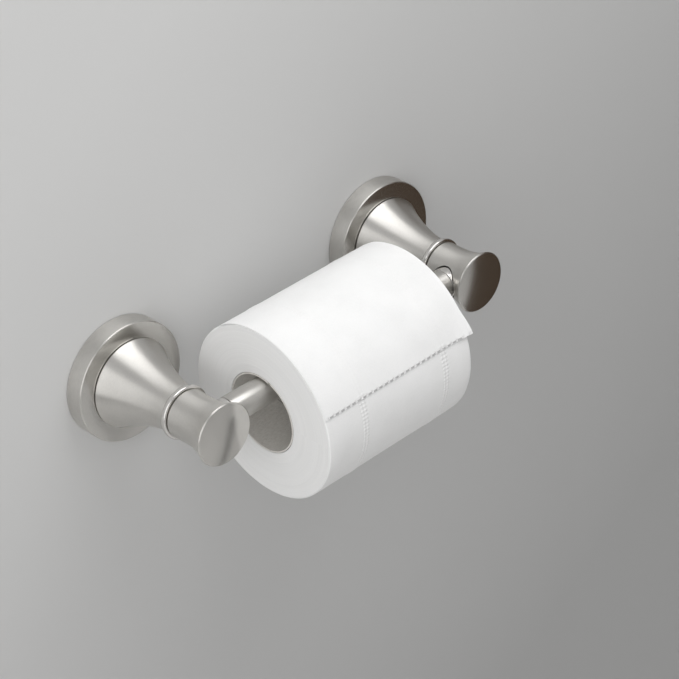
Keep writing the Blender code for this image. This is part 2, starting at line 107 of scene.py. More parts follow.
BRACKET_TAB = 8.0 * MM
BRACKET_BORE = 9 * MM
SCREW_OFFSET = 14 * MM
SCREW_RADIUS = 1.9 * MM
SCREW_THREAD_DEPTH = 0.42 * MM
SCREW_PITCH = 1.5 * MM
SCREW_POINT = 4 * MM
ANCHOR_RADIUS = 3.6 * MM
ANCHOR_RIBS = 9
ANCHOR_PLAIN = 7.0 * MM  # smooth collar before the ribs
SLIT_HALF = 0.35 * MM
SLIT_END = 8.5 * MM
GRUB_DEPTH = 3.9 * MM
GRUB_RADIUS = 1.6 * MM
GRUB_LOW = 20.8 * MM
GRUB_THREAD_DEPTH = 0.22 * MM
GRUB_PITCH = 0.5 * MM
GRUB_POINT = 0.8 * MM
HEX_KEY_RADIUS = 0.92 * MM
HEX_KEY_DEPTH = 1.8 * MM
BOSS_RADIUS = 3.2 * MM
LUG_HALF = 6 * MM
LUG_LOW = 20.8 * MM
LUG_DEPTHS = (2.3 * MM, 5.6 * MM)
SPRING_RADIUS = 5.4 * MM
SPRING_WIRE = 0.5 * MM
SPRING_TURNS = 8
SHEET_START = -34.0
SHEET_END = 71.0

FINE = 144  # sides of a visible turned piece
SMALL = 40  # sides of a small one

OUT_OF_WALL = Matrix(((1, 0, 0), (0, 0, -1), (0, 1, 0)))
ALONG_X = Matrix(((0, 0, 1), (1, 0, 0), (0, 1, 0)))
DOWNWARD = Matrix(((1, 0, 0), (0, -1, 0), (0, 0, -1)))

for left_over in list(bpy.data.objects):
    bpy.data.objects.remove(left_over, do_unlink=True)
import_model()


# -------- node helpers

def set_stops(node, stops):
    """Give a colour ramp its stops, as (position, colour)."""
    elements = node.color_ramp.elements
    while len(elements) < len(stops):
        elements.new(0.5)
    for element, (position, colour) in zip(elements, stops):
        element.position = position
        element.color = (*colour, 1.0)


class Shader:
    """A material under construction: one Principled shader and short calls that add nodes."""

    def __init__(self, name, **inputs):
        self.material = bpy.data.materials.new(name)
        self.material.use_nodes = True
        self.tree = self.material.node_tree
        self.surface = self.tree.nodes["Principled BSDF"]
        for socket, value in inputs.items():
            self.surface.inputs[socket.replace("_", " ")].default_value = value

    def add(self, kind, inputs=None, **settings):
        node = self.tree.nodes.new("ShaderNode" + kind)
        for key, value in settings.items():
            setattr(node, key, value)
        for key, value in (inputs or {}).items():
            if isinstance(value, bpy.types.NodeSocket):
                self.tree.links.new(value, node.inputs[key])
            elif isinstance(value, tuple):
                node.inputs[key].default_value = (*value, 1.0)
            else:
                node.inputs[key].default_value = value
        return node

    def math(self, operation, a, b=0.0):
        return self.add("Math", {0: a, 1: b}, operation=operation).outputs[0]

    def times(self, a, b):
        return self.math("MULTIPLY", a, b)

    def plus(self, a, b):
        return self.math("ADD", a, b)

    def minus(self, a, b):
        return self.math("SUBTRACT", a, b)

    def coordinates(self):
        return self.add("TexCoord").outputs["Object"]

    def axes(self, vector):
        parts = self.add("SeparateXYZ", {0: vector}).outputs
        return parts[0], parts[1], parts[2]

    def join(self, x, y, z):
        return self.add("CombineXYZ", {0: x, 1: y, 2: z}).outputs[0]

    def noise(self, vector, scale, detail=2.0, roughness=0.5):
        inputs = {"Vector": vector, "Scale": scale, "Detail": detail, "Roughness": roughness}
        return self.add("TexNoise", inputs).outputs[0]

    def ramp(self, value, stops):
        node = self.add("ValToRGB", {0: value})
        set_stops(node, stops)
        return node.outputs[0]

    def span(self, value, low, high, start=0.0, stop=1.0):
        """Run from low to high while the value runs from start to stop."""
        inputs = {0: value, 1: start, 2: stop, 3: low, 4: high}
        return self.add("MapRange", inputs).outputs[0]

    def mix(self, share, first, second, blend="MIX"):
        inputs = {0: share, 6: first, 7: second}
        return self.add("Mix", inputs, data_type="RGBA", blend_type=blend).outputs[2]

    def bump(self, height, strength, distance):
        inputs = {"Height": height, "Strength": strength, "Distance": distance}
        self.link("Normal", self.add("Bump", inputs).outputs[0])

    def link(self, socket, value):
        self.tree.links.new(value, self.surface.inputs[socket])


def shaded(colour, factor):
    return tuple(min(channel * factor, 1.0) for channel in colour)


def brushed(name, colour, roughness, stretch, spread):
    """Turned metal: fine brush lines run round its own Z axis; the edges are rubbed smoother, and a painted
    highlight lightens their colour.
    """
    s = Shader(name, Metallic=1.0, Anisotropic=stretch, Anisotropic_Rotation=0.25)
    x, y, z = s.axes(s.coordinates())
    radius = s.math("SQRT", s.plus(s.times(x, x), s.times(y, y)))
    around = s.times(s.math("ARCTAN2", y, x), 0.0035)
    lines = s.noise(s.join(radius, around, z), 3600.0, 4.0, 0.7)
    clouds = s.noise(s.coordinates(), 60.0, 3.0, 0.55)
    streaked = s.join(s.times(radius, 0.3), s.times(around, 30.0), z)
    streaks = s.noise(streaked, 60.0, 3.0, 0.6)
    dark, light = shaded(colour, 0.88), shaded(colour, 1.06)
    shade = s.plus(s.times(lines, 0.6), s.times(clouds, 0.4))
    tone = s.ramp(shade, ((0.32, dark), (0.50, colour), (0.68, light)))
    # Convex edges: lower roughness from rubbing, and a painted highlight that mixes a lighter colour into the
    # base colour
    edge = s.ramp(s.add("NewGeometry").outputs["Pointiness"], ((0.52, (0, 0, 0)), (0.60, (1, 1, 1))))
    s.link("Base Color", s.mix(s.times(edge, 0.5), tone, (0.80, 0.785, 0.76)))
    polish = s.plus(s.times(lines, 0.5), s.times(streaks, 0.5))
    rough = s.span(polish, roughness - spread, roughness + spread)
    s.link("Roughness", s.minus(rough, s.times(edge, spread)))
    s.bump(lines, 0.22, 0.00003)
    tangent = s.add("Tangent", direction_type="RADIAL", axis="Z")
    s.link("Tangent", tangent.outputs[0])
    return s.material


def polished(name, colour):
    """Bright plated metal with faint handling marks."""
    s = Shader(name, Metallic=1.0)
    smudge = s.noise(s.coordinates(), 160.0, 4.0, 0.6)
    hairline = s.noise(s.coordinates(), 1900.0, 2.0, 0.5)
    s.link("Base Color", s.mix(smudge, shaded(colour, 0.95), colour))
    s.link("Roughness", s.span(smudge, 0.12, 0.24))
    s.bump(hairline, 0.04, 0.00003)
    return s.material


def plated(name, colour, roughness, spread=0.10):
    """Zinc-plated or oxide-coated steel: blotchy and dull, with a fine grit."""
    s = Shader(name, Metallic=1.0)
    blotch = s.noise(s.coordinates(), 240.0, 4.0, 0.65)
    grit = s.noise(s.coordinates(), 3200.0, 2.0, 0.6)
    dark, light = shaded(colour, 1 - spread * 2.0), shaded(colour, 1 + spread)
    s.link("Base Color", s.ramp(blotch, ((0.28, dark), (0.50, colour), (0.75, light))))
    s.link("Roughness", s.span(blotch, roughness - 0.10, roughness + 0.12))
    s.bump(grit, 0.16, 0.00004)
    return s.material


def moulded(name, colour, roughness):
    """Injection-moulded nylon: even colour, slight mottling and a fine matt skin."""
    s = Shader(name, Subsurface_Weight=0.06, Subsurface_Scale=0.002, IOR=1.53)
    mottle = s.noise(s.coordinates(), 320.0, 3.0, 0.6)
    skin = s.noise(s.coordinates(), 5200.0, 2.0, 0.5)
    s.link("Base Color", s.mix(mottle, shaded(colour, 0.93), colour))
    s.link("Roughness", s.span(mottle, roughness - 0.05, roughness + 0.08))
    s.bump(skin, 0.12, 0.00003)
    return s.material


def cardboard():
    """Spiral-wound grey board: fibres, specks and the seam of the outer ply."""
    s = Shader("core_board", Specular_IOR_Level=0.25)
    vector = s.coordinates()
    x, y, z = s.axes(vector)
    fibres = s.noise(s.join(s.times(x, 0.35), y, z), 1500.0, 5.0, 0.65)
    specks = s.noise(vector, 900.0, 2.0, 0.4)
    turn = s.math("DIVIDE", s.math("ARCTAN2", z, y), math.tau)
    seam_at = s.math("FRACT", s.plus(turn, s.times(x, 1 / 0.062)))
    seam = s.math("LESS_THAN", s.math("ABSOLUTE", s.minus(seam_at, 0.5)), 0.006)
    stops = ((0.30, (0.56, 0.54, 0.505)), (0.52, (0.64, 0.62, 0.585)), (0.75, (0.71, 0.69, 0.66)))
    board = s.ramp(fibres, stops)
    fleck = s.ramp(specks, ((0.66, (0, 0, 0)), (0.72, (1, 1, 1))))
    flecked = s.mix(fleck, (1, 1, 1), (0.84, 0.82, 0.79))
    tone = s.mix(1.0, board, flecked, "MULTIPLY")
    s.link("Base Color", s.mix(seam, tone, (0.40, 0.38, 0.345)))
    s.link("Roughness", s.span(fibres, 0.78, 0.96))
    height = s.minus(fibres, s.times(seam, 1.5))
    s.bump(height, 0.22, 0.00006)
    return s.material


def tissue_side(name, perforated=False):
    """Soft tissue round the roll: fibre, faint creases round it, and two embossed bands whose dots are
    darkened with painted shade; a perforated sheet also gets painted shadow in the slits along its edge.
    """
    s = Shader(name, Specular_IOR_Level=0.2, Sheen_Weight=0.15, Sheen_Roughness=0.6)
    vector = s.coordinates()
    x, y, z = s.axes(vector)
    angle = s.math("ARCTAN2", z, y)
    around = s.times(angle, ROLL_RADIUS)
    fibre = s.noise(vector, 1400.0, 5.0, 0.7)
    cloud = s.noise(vector, 55.0, 3.0, 0.5)
    creased = s.join(s.times(x, 6.0), s.times(around, 0.35), 0.0)
    crease = s.noise(creased, 60.0, 3.0, 0.6)
    in_band = None
    for middle in BANDS:
        distance = s.math("ABSOLUTE", s.minus(x, middle))
        near = s.span(distance, 0.0, 1.0, BAND_HALF, BAND_HALF * 0.86)
        in_band = near if in_band is None else s.math("MAXIMUM", in_band, near)
    first = s.math("SINE", s.times(s.plus(x, around), math.pi / DOT_PITCH))
    second = s.math("SINE", s.times(s.minus(x, around), math.pi / DOT_PITCH))
    dots = s.times(s.times(first, second), in_band)
    if perforated:
        forward = s.math("ARCTAN2", s.times(y, -1.0), z)
        from_edge = s.times(s.minus(math.radians(SHEET_END), forward), ROLL_RADIUS)
        left = s.span(from_edge, 1.0, FLAT_SHARE, 0.0, FLAT_FADE)
        dots = s.times(dots, left)
    tone = s.plus(s.times(fibre, 0.5), s.times(cloud, 0.5))
    paper = s.ramp(tone, ((0.30, PAPER_DARK), (0.50, PAPER_MID), (0.72, PAPER_LIGHT)))
    # Painted shade: the raised dots of the embossed bands are darkened in colour
    paper = s.mix(s.times(s.math("MAXIMUM", dots, 0.0), 0.35), paper, PAPER_DOT_SHADE)
    # Painted shadow: grey dashes in the slits between the teeth along the perforated edge
    if perforated:
        spot = s.math("FRACT", s.plus(s.math("DIVIDE", x, PERFORATION), 10.25))
        off_tooth = s.math("ABSOLUTE", s.minus(spot, 0.5))
        slit = s.span(off_tooth, 0.0, 1.0, 0.17, 0.23)
        painted_shadow_band = s.span(from_edge, 0.0, 1.0, SLIT_DEPTH, SLIT_DEPTH * 0.6)
        from_middle = s.math("ABSOLUTE", s.plus(x, 1.2 * MM))
        inside = s.math("LESS_THAN", from_middle, ROLL_HALF - 3.6 * MM)
        paper = s.mix(s.times(s.times(slit, painted_shadow_band), inside), paper, PAPER_SLIT_SHADOW)
    s.link("Base Color", paper)
    s.link("Roughness", s.span(fibre, 0.86, 1.0))
    height = s.plus(s.times(fibre, 0.35), s.times(crease, 0.7))
    s.bump(s.plus(height, s.times(dots, 3.2)), 0.30, 0.00012)
    return s.material


def tissue_end():
    """End of the roll: the edges of several hundred wound layers."""
    s = Shader("tissue_end", Specular_IOR_Level=0.2, Sheen_Weight=0.1, Sheen_Roughness=0.6)
    vector = s.coordinates()
    x, y, z = s.axes(vector)
    radius = s.math("SQRT", s.plus(s.times(y, y), s.times(z, z)))
    turn = s.math("DIVIDE", s.math("ARCTAN2", z, y), math.tau)
    wound = s.plus(radius, s.times(turn, 0.00035))
    layers = s.noise(s.join(wound, s.times(turn, 0.0006), 0.0), 4200.0, 4.0, 0.75)
    bands = s.noise(s.join(wound, s.times(turn, 0.002), 0.0), 420.0, 3.0, 0.6)
    lint = s.noise(vector, 1600.0, 4.0, 0.7)
    tone = s.plus(s.times(layers, 0.5), s.times(bands, 0.3))
    tone = s.plus(tone, s.times(lint, 0.2))
    s.link("Base Color", s.ramp(tone, ((0.28, END_DARK), (0.50, END_MID), (0.74, END_LIGHT))))
    s.link("Roughness", s.span(lint, 0.88, 1.0))
    height = s.plus(s.times(layers, 0.8), s.times(lint, 0.3))
    s.bump(height, 0.35, 0.0001)
    return s.material


# -------- mesh helpers

def new_object(name, data):
    obj = bpy.data.objects.new(name, data)
    bpy.context.scene.collection.objects.link(obj)
    return obj


def mesh_object(name, vertices, faces):
    mesh = bpy.data.meshes.new(name)
    mesh.from_pydata(vertices, [], faces)
    return new_object(name, mesh)


def place(obj, turn, at):
    obj.matrix_world = Matrix.Translation(Vector(at)) @ turn.to_4x4()
    return obj


def hose_faces(rows, sides):
    """Faces of a closed tube whose vertices come as rows + 1 rings, with a cap at each end."""
    faces = []
    for row in range(rows):
        for i in range(sides):
            j = (i + 1) % sides
            a, b = row * sides, (row + 1) * sides
            faces.append([a + i, a + j, b + j, b + i])
    faces.append(list(range(sides)))
    faces.append(list(range(rows * sides, (rows + 1) * sides)))
    return faces


def smooth(obj, degrees=28):
    bm = bmesh.new()
    bm.from_mesh(obj.data)
    bmesh.ops.recalc_face_normals(bm, faces=bm.faces)
    bm.to_mesh(obj.data)
    bm.free()
    for polygon in obj.data.polygons:
        polygon.use_smooth = True
    obj.data.set_sharp_from_angle(angle=math.radians(degrees))


def rounded(outline, steps=4):
    """Replace each corner (radius, height, fillet) of a closed outline by an arc where fillet is set."""
    points = []
    count = len(outline)
    for i, corner in enumerate(outline):
        here = Vector(corner[:2])
        size = corner[2] if len(corner) > 2 else 0
        before = Vector(outline[i - 1][:2]) - here
        after = Vector(outline[(i + 1) % count][:2]) - here
        if size <= 0 or before.length < 1e-9 or after.length < 1e-9:
            points.append(tuple(here))
            continue
        half = before.angle(after) / 2
        reach = min(size / math.tan(half), before.length * 0.49, after.length * 0.49)
        start = here + before.normalized() * reach
        end = here + after.normalized() * reach
        centre = here + (before.normalized() + after.normalized()).normalized() * (reach / math.cos(half))
        first, last = start - centre, end - centre
        sweep = first.angle(last)
        for k in range(steps + 1):
            share = k / steps
            weight_a = math.sin((1 - share) * sweep) / math.sin(sweep)
            weight_b = math.sin(share * sweep) / math.sin(sweep)
            points.append(tuple(centre + first * weight_a + last * weight_b))
    return points


def turned(name, outline, turn, at, sides=FINE, steps=4):
    """Turn a closed outline of (radius, height, fillet) round local Z, with the origin on the axis."""
    vertices, rings = [], []
    for radius, height in rounded(outline, steps):
        if radius < 1e-9:
            rings.append([len(vertices)])
            vertices.append((0, 0, height))
            continue
        rings.append(list(range(len(vertices), len(vertices) + sides)))
        for i in range(sides):
            angle = math.tau * i / sides
            vertices.append((radius * math.cos(angle), radius * math.sin(angle), height))
    faces = []
    for first, second in zip(rings, rings[1:] + rings[:1]):
        if len(first) == 1 and len(second) == 1:
            continue
        for i in range(sides):
            j = (i + 1) % sides
            corners = [first[i % len(first)], first[j % len(first)]]
            corners += [second[j % len(second)], second[i % len(second)]]
            faces.append(list(dict.fromkeys(corners)))
    obj = mesh_object(name, vertices, faces)
    smooth(obj)
    return place(obj, turn, at)


def prism(name, outline, low, high, turn, at):
    count = len(outline)
    vertices = [(x, y, low) for x, y in outline] + [(x, y, high) for x, y in outline]
    faces = [list(range(count)), list(range(count, 2 * count))]
    faces += [[i, (i + 1) % count, (i + 1) % count + count, i + count] for i in range(count)]
    obj = mesh_object(name, vertices, faces)
    smooth(obj)
    return place(obj, turn, at)


def combine(target, tools, operation="DIFFERENCE"):
    """Apply a Boolean of each tool to the target and remove the tools."""
    for tool in tools:
        modifier = target.modifiers.new("combine", "BOOLEAN")
        modifier.operation = operation
        modifier.solver = "EXACT"
        modifier.object = tool
    bake(target)
    for tool in tools:
        bpy.data.objects.remove(tool, do_unlink=True)


def bake(target):
    """Turn the target's modifiers into mesh."""
    bpy.context.view_layer.update()
    graph = bpy.context.evaluated_depsgraph_get()
    mesh = bpy.data.meshes.new_from_object(target.evaluated_get(graph))
    target.modifiers.clear()
    target.data = mesh


def soften(target, width, degrees=40):
    """Break the target's sharp edges with a small bevel."""
    modifier = target.modifiers.new("soften", "BEVEL")
    modifier.width = width
    modifier.segments = 2
    modifier.limit_method = "ANGLE"
    modifier.angle_limit = math.radians(degrees)
    bake(target)
    smooth(target)


def rod(radius, low, high, fillet=0.0):
    return [(0, low), (radius, low, fillet), (radius, high, fillet), (0, high)]


def sleeve(inner, outer, low, high, fillet=0.0):
    return [(inner, low, fillet), (outer, low, fillet), (outer, high, fillet), (inner, high, fillet)]


def rectangle(left, right, low, high):
    return [(left, low), (right, low), (right, high), (left, high)]


def polygon_outline(radius, sides):
    angles = [math.tau * i / sides for i in range(sides)]
    return [(radius * math.cos(angle), radius * math.sin(angle)) for angle in angles]


def threaded(name, radius, depth, pitch, low, high, turn, at, point=0.0, sides=28):
    """Rod along local Z with a helical thread, run out at both ends, and pointed at low if point is set."""
    rows_per_turn = 6
    rows = max(int((high - low) / pitch * rows_per_turn), 2)
    vertices = []
    for row in range(rows + 1):
        height = low + (high - low) * row / rows
        runout = min((height - low) / pitch, (high - height) / pitch, 1.0)
        taper = min((height - low) / point, 1.0) if point else 1.0
        for i in range(sides):
            angle = math.tau * i / sides
            phase = (height / pitch - i / sides) % 1.0
            groove = depth * min(1.0, 1.6 * (1 - abs(2 * phase - 1)))
            r = (radius - depth + groove * runout) * (0.12 + 0.88 * taper)
            vertices.append((r * math.cos(angle), r * math.sin(angle), height))
    obj = mesh_object(name, vertices, hose_faces(rows, sides))
    smooth(obj, 60)
    return place(obj, turn, at)


def merge(target, others):
    """Join other closed shells into the target's mesh."""
    bm = bmesh.new()
    bm.from_mesh(target.data)
    for other in others:
        moved = other.data.copy()
        moved.transform(target.matrix_world.inverted() @ other.matrix_world)
        bm.from_mesh(moved)
        bpy.data.objects.remove(other, do_unlink=True)
    bm.to_mesh(target.data)
    bm.free()
    smooth(target)


def finish_piece(obj, material, body, slot, *nodes):
    obj.data.materials.clear()
    obj.data.materials.append(material)
    for polygon in obj.data.polygons:
        polygon.material_index = 0
    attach(obj, body)
    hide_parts(*nodes)


# -------- finishes

ROLL_LOW, ROLL_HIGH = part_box("paper_roll")
ROLL_RADIUS = (ROLL_HIGH.z - ROLL_LOW.z) / 2
ROLL_CENTRE = (ROLL_LOW + ROLL_HIGH) / 2
ROLL_HALF = (ROLL_HIGH.x - ROLL_LOW.x) / 2
BANDS = (-25.0 * MM, 31.5 * MM)  # embossed bands, along the roll from its middle
BAND_HALF = 2.7 * MM
ROLL_SIDES = 560
RIDGES = 200
RIDGE_PITCH = 0.55 * MM
DOTS_ROUND = 143
DOT_PITCH = math.tau * ROLL_RADIUS / DOTS_ROUND
DOT_HEIGHT = 0.28 * MM
FLAT_SHARE = 0.2  # what is left of the dots where the last sheet is pulled flat
FLAT_FADE = 4.0 * MM
PAPER_DARK, PAPER_MID, PAPER_LIGHT = (0.83, 0.83, 0.825), (0.88, 0.88, 0.875), (0.92, 0.92, 0.915)
# Painted shade on the embossed dots
PAPER_DOT_SHADE = (0.74, 0.74, 0.735)
# Painted shadow in the slits of the perforated edge
PAPER_SLIT_SHADOW = (0.44, 0.44, 0.435)
PERFORATION = 3.7 * MM
SLIT_DEPTH = 1.0 * MM
END_DARK, END_MID, END_LIGHT = (0.70, 0.70, 0.695), (0.77, 0.77, 0.765), (0.83, 0.83, 0.825)

NICKEL = (0.67, 0.655, 0.625)
satin = brushed("satin_nickel", NICKEL, 0.37, 0.86, 0.08)
satin_ring = brushed("satin_nickel_ring", NICKEL, 0.20, 0.0, 0.03)
satin_face = brushed("satin_nickel_face", NICKEL, 0.15, 0.0, 0.04)
bright = polished("polished_nickel", (0.76, 0.745, 0.72))
zinc = plated("zinc_steel", (0.60, 0.61, 0.62), 0.36)
black = plated("black_steel", (0.07, 0.07, 0.075), 0.46, 0.15)
spring_steel = plated("spring_steel", (0.46, 0.46, 0.47), 0.27, 0.06)
grey_nylon = moulded("grey_nylon", (0.45, 0.46, 0.47), 0.52)
white_nylon = moulded("white_nylon", (0.80, 0.80, 0.78), 0.42)
board = cardboard()
paper_side = tissue_side("tissue_side")
paper_sheet = tissue_side("tissue_sheet", perforated=True)
paper_end = tissue_end()


# -------- posts

def polish_front(obj, material):
    """Give the faces that look away from the wall the satin of a flat turned face."""
    obj.data.materials.append(material)
    for polygon in obj.data.polygons:
        if polygon.normal.z > 0.9:
            polygon.material_index = 1


def make_flange(side, x, radius):
    bore = radius - FLANGE_WALL
    web = FACE_DEPTH - FLANGE_WALL
    outline = [
        (bore, 0, 0.3 * MM), (radius, 0, 0.3 * MM), (radius, FLANGE_DEPTH - FLANGE_BEVEL, 0.25 * MM),
        (radius - FLANGE_BEVEL, FLANGE_DEPTH, 0.25 * MM), (SEAT_RADIUS, FACE_DEPTH, 0.2 * MM),
        (SEAT_RADIUS, web), (CLAMP_RADIUS + GAP, web), (bore, web - FLANGE_WALL, 1.0 * MM),
    ]
    flange = turned("flange_cup_" + side, outline, OUT_OF_WALL, (x, 0, 0))
    boss_at = (x, -GRUB_DEPTH, 0)
    boss_low = CLAMP_RADIUS + 2 * GAP
    boss_outline = rod(BOSS_RADIUS, boss_low, bore + 1 * MM, 0.3 * MM)
    boss = turned("boss", boss_outline, DOWNWARD, boss_at, SMALL)
    lug_outline = rectangle(-LUG_HALF, LUG_HALF, LUG_LOW, bore + 1 * MM)
    lug = prism("lug", lug_outline, *LUG_DEPTHS, OUT_OF_WALL, (x, 0, 0))
    soften(lug, 0.4 * MM)
    combine(flange, [boss, lug], "UNION")
    hole_outline = rod(GRUB_RADIUS + GAP, boss_low - 2 * GAP, radius + 1 * MM)
    combine(flange, [turned("hole", hole_outline, DOWNWARD, boss_at, SMALL)])
    smooth(flange)
    finish_piece(flange, satin, "posts", "satin_nickel", "flange_" + side)
    polish_front(flange, satin_ring)

    grub_high = radius - 1 * MM
    grub = threaded(
        "grub_thread_" + side, GRUB_RADIUS, GRUB_THREAD_DEPTH, GRUB_PITCH, GRUB_LOW, grub_high, DOWNWARD,
        boss_at, GRUB_POINT,
    )
    hexagon = polygon_outline(HEX_KEY_RADIUS, 6)
    key = prism("key", hexagon, grub_high - HEX_KEY_DEPTH, grub_high + GAP, DOWNWARD, boss_at)
    combine(grub, [key])
    smooth(grub, 60)
    finish_piece(grub, black, "posts", "black_steel", "grub_screw_" + side)


def make_cone(side, x, top):
    foot = FACE_DEPTH + GAP
    spigot = SEAT_RADIUS - GAP
    steps = 28

    def radius_at(depth):
        share = max(top - depth, 0) / (top - foot)
        return CONE_NECK_RADIUS + (CONE_FOOT_RADIUS - CONE_NECK_RADIUS) * share**CONE_FLARE

    land = 0.7 * MM  # short straight edge at the foot
    outline = [(CONE_FOOT_RADIUS - 0.05 * MM, foot, 0.1 * MM)]
    outline += [(CONE_FOOT_RADIUS - 0.05 * MM, foot + land * 0.8, 0.15 * MM)]
    for i in range(1, steps):
        depth = foot + land + (top - foot - land) * i / steps
        outline.append((radius_at(depth), depth))
    outline += [(CONE_NECK_RADIUS, top, 0.2 * MM), (STUD_HOLE, top, 0.2 * MM)]
    boss_base = top - CONE_BOSS
    outline.append((STUD_HOLE, boss_base, 0.2 * MM))
    for i in range(9):
        depth = boss_base + (foot - boss_base) * i / 8
        outline.append((min(radius_at(depth), spigot) - CONE_WALL, depth))
    outline += [(spigot - CONE_WALL, foot - 2 * MM), (spigot, foot - 2 * MM, 0.2 * MM), (spigot, foot)]
    cone = turned("cone_shell_" + side, outline, OUT_OF_WALL, (x, 0, 0))
    finish_piece(cone, satin, "posts", "satin_nickel", "post_cone_" + side)


def make_neck(side, x, base, top):
    """Bright bead, with one narrow groove at its end next to the head."""
    start, end = base + 0.05 * MM, top - 0.3 * MM
    crown = BEAD_RADIUS - BEAD_CORE_RADIUS
    steps = 28
    outline = [(STUD_HOLE, base, 0.1 * MM), (BEAD_CORE_RADIUS, base), (BEAD_CORE_RADIUS, start)]
    for i in range(1, steps):
        angle = math.pi * (i / steps - 0.5)
        height = (start + end) / 2 + (end - start) / 2 * math.copysign(abs(math.sin(angle)) ** 0.72, angle)
        outline.append((BEAD_CORE_RADIUS + crown * math.cos(angle) ** 0.4, height))
    groove = BEAD_CORE_RADIUS - 0.4 * MM
    outline += [(BEAD_CORE_RADIUS, end), (groove, end + 0.1 * MM), (groove, top), (STUD_HOLE, top, 0.1 * MM)]
    neck = turned("neck_ring_" + side, outline, OUT_OF_WALL, (x, 0, 0))
    finish_piece(neck, bright, "posts", "polished_nickel", "neck_bead_" + side)


def make_head(side, x, base, roller_y, tube_radius):
    inward = -math.copysign(1, x)
    rise = 0.6 * MM
    steps = 26
    outline = [(0, STUD_IN_HEAD + GAP), (STUD_HOLE, STUD_IN_HEAD + GAP), (STUD_HOLE, 0, 0.2 * MM)]
    outline.append((HEAD_BASE_RADIUS, 0, 0.3 * MM))
    side_end = HEAD_LENGTH - 0.75 * MM
    for i in range(1, steps + 1):
        height = side_end * i / steps
        if height < HEAD_WAIST_AT:
            share = (HEAD_WAIST_AT - height) / HEAD_WAIST_AT
            r = HEAD_WAIST_RADIUS + (HEAD_BASE_RADIUS - HEAD_WAIST_RADIUS) * share**2
        else:
            share = (height - HEAD_WAIST_AT) / (HEAD_LENGTH - HEAD_WAIST_AT)
            r = HEAD_WAIST_RADIUS + (HEAD_RIM_RADIUS - HEAD_WAIST_RADIUS) * share**HEAD_FLARE
        outline.append((r, height))
    outline.append((HEAD_RIM_RADIUS, HEAD_LENGTH, 0.35 * MM))
    face = HEAD_RIM_RADIUS - rise
    outline.append((face, HEAD_LENGTH + rise, 0.35 * MM))
    for i in range(1, 14):
        share = 1 - i / 14
        outline.append((face * share, HEAD_LENGTH + rise + HEAD_DOME * (1 - share**2)))
    outline.append((0, HEAD_LENGTH + rise + HEAD_DOME))
    head = turned("head_cap_" + side, outline, OUT_OF_WALL, (x, base, 0))

    floor = HEAD_WAIST_RADIUS - SOCKET_DEPTH
    socket_radius = tube_radius + SOCKET_CLEARANCE
    back = floor - SOCKET_BACK
    bush_hole = BUSH_RADIUS + GAP
    socket_outline = [
        (0, inward * back), (bush_hole, inward * back), (bush_hole, inward * floor),
        (socket_radius, inward * floor, 0.3 * MM), (socket_radius, inward * SOCKET_REACH),
        (0, inward * SOCKET_REACH),
    ]
    socket = turned("socket", socket_outline, ALONG_X, (x, roller_y, 0), 96)
    combine(head, [socket])
    smooth(head)
    finish_piece(head, satin, "posts", "satin_nickel", "post_head_" + side)
    polish_front(head, satin_face)

    low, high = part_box("socket_bush_" + side)
    reach = abs(high.x - low.x)
    outer = min(low.x - x, high.x - x, key=abs)
    step = math.copysign(reach, inward)
    bush_outline = [
        (0, outer, 0), (BUSH_RADIUS, outer, 0.2 * MM), (BUSH_RADIUS, outer + step, 0.3 * MM),
        (PIN_RADIUS + GAP, outer + step, 0.3 * MM), (PIN_RADIUS + GAP, outer + inward * BUSH_FLOOR),
        (0, outer + inward * BUSH_FLOOR),
    ]
    bush = turned("pin_bush_" + side, bush_outline, ALONG_X, (x, roller_y, 0), SMALL)
    finish_piece(bush, white_nylon, "posts", "white_nylon", "socket_bush_" + side)


def make_tie(side, x):
    at = (x, 0, 0)
    low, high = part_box("tie_stud_" + side)
    stud = threaded(
        "stud_thread_" + side, STUD_RADIUS, STUD_THREAD_DEPTH, STUD_PITCH, -high.y, -low.y, OUT_OF_WALL, at,
    )
    finish_piece(stud, zinc, "posts", "zinc_steel", "tie_stud_" + side)

    low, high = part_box("clamp_plate_" + side)
    plate_outline = sleeve(STUD_HOLE, CLAMP_RADIUS, -high.y, -low.y, 0.3 * MM)
    plate = turned("clamp_disc_" + side, plate_outline, OUT_OF_WALL, at)
    finish_piece(plate, zinc, "posts", "zinc_steel", "clamp_plate_" + side)

    low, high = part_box("tie_washer_" + side)
    washer_outline = sleeve(STUD_HOLE, (high.x - low.x) / 2, -high.y, -low.y, 0.15 * MM)
    washer = turned("washer_disc_" + side, washer_outline, OUT_OF_WALL, at, 64)
    finish_piece(washer, zinc, "posts", "zinc_steel", "tie_washer_" + side)

    low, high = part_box("tie_nut_" + side)
    corner = (high.x - low.x) / 2
    nut = prism("hex_nut_" + side, polygon_outline(corner, 6), -high.y, -low.y, OUT_OF_WALL, at)
    past, chamfer = 0.1 * MM, 0.55 * MM
    wide, narrow = corner * 1.02, corner * 0.88
    dome_outline = [
        (0, -high.y - past), (narrow, -high.y - past), (wide, -high.y + chamfer),
        (wide, -low.y - chamfer), (narrow, -low.y + past), (0, -low.y + past),
    ]
    combine(nut, [turned("chamfer", dome_outline, OUT_OF_WALL, at, 72)], "INTERSECT")
    bore = turned("bore", rod(STUD_HOLE, -high.y - GAP, -low.y + GAP), OUT_OF_WALL, at, SMALL)
    combine(nut, [bore])
    smooth(nut)
    finish_piece(nut, zinc, "posts", "zinc_steel", "tie_nut_" + side)


def rounded_rectangle(half_x, half_y, corner, steps=10):
    outline = []
    for quadrant in range(4):
        middle = math.pi / 4 + quadrant * math.pi / 2
        centre_x = math.copysign(half_x - corner, math.cos(middle))
        centre_y = math.copysign(half_y - corner, math.sin(middle))
        for step in range(steps + 1):
            angle = quadrant * math.pi / 2 + step * math.pi / 2 / steps
            outline.append((centre_x + corner * math.cos(angle), centre_y + corner * math.sin(angle)))
    return outline


